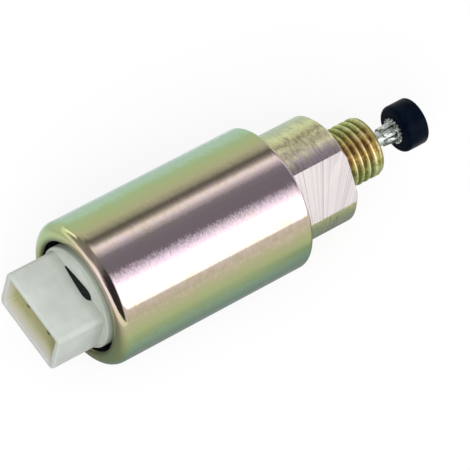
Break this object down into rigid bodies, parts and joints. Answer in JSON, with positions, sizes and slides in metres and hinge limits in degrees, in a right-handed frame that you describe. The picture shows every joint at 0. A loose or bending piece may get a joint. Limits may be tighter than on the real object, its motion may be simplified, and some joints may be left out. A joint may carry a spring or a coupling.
{
  "type": "fuel shutoff solenoid",
  "caption": "Cylindrical fuel shutoff solenoid: plated can, blade connector at the rear, threaded mounting body, and a sprung plunger with a rubber sealing tip.",
  "frame": {"origin": "centre of the seating face, where the thread starts, on the solenoid's axis", "axes": "+X along the axis, from the seating face towards the sealing tip; +Z square to the connector's wide face; +Y across the connector"},
  "size_m": [0.0741, 0.024, 0.024],
  "materials": {
    "can_plating": "yellow zinc plating, glossy, iridescent",
    "body_plating": "yellow zinc plating over turned steel",
    "black_rubber": "matt",
    "tip_rubber": "smooth, semi-gloss",
    "brass": "drawn, satin",
    "core_steel": "turned, satin",
    "bright_steel": "bright",
    "bobbin_plastic": "moulded",
    "magnet_wire": "enamelled copper",
    "wrap_film": "insulating film",
    "white_nylon": "moulded, slightly translucent",
    "tinned_blade": "tinned brass"
  },
  "bodies": {
    "housing": {"can": "can_plating", "threaded_body": "body_plating", "body_o_ring": "black_rubber", "guide_tube": "brass", "fixed_core": "core_steel", "core_shim": "brass", "flux_plate": "core_steel", "coil_bobbin": "bobbin_plastic", "coil_winding": "magnet_wire", "coil_wrap": "wrap_film", "end_seal": "black_rubber", "connector_housing": "white_nylon", "terminal_left": "tinned_blade", "terminal_right": "tinned_blade", "lead_sleeve_left": "white_nylon", "lead_sleeve_right": "white_nylon", "lead_wire_left": "magnet_wire", "lead_wire_right": "magnet_wire", "return_spring": "bright_steel"},
    "plunger": {"armature": "core_steel", "plunger_rod": "bright_steel", "tip_retainer": "bright_steel", "seal_tip": "tip_rubber"}
  },
  "joints": [
    {"name": "plunger_slide", "type": "slide", "parent": "housing", "child": "plunger", "axis": [-1, 0, 0], "range_m": [0, 0.003], "stiffness_N_per_m": 250, "springref_m": -0.005, "deforming": ["return_spring"]}
  ]
}
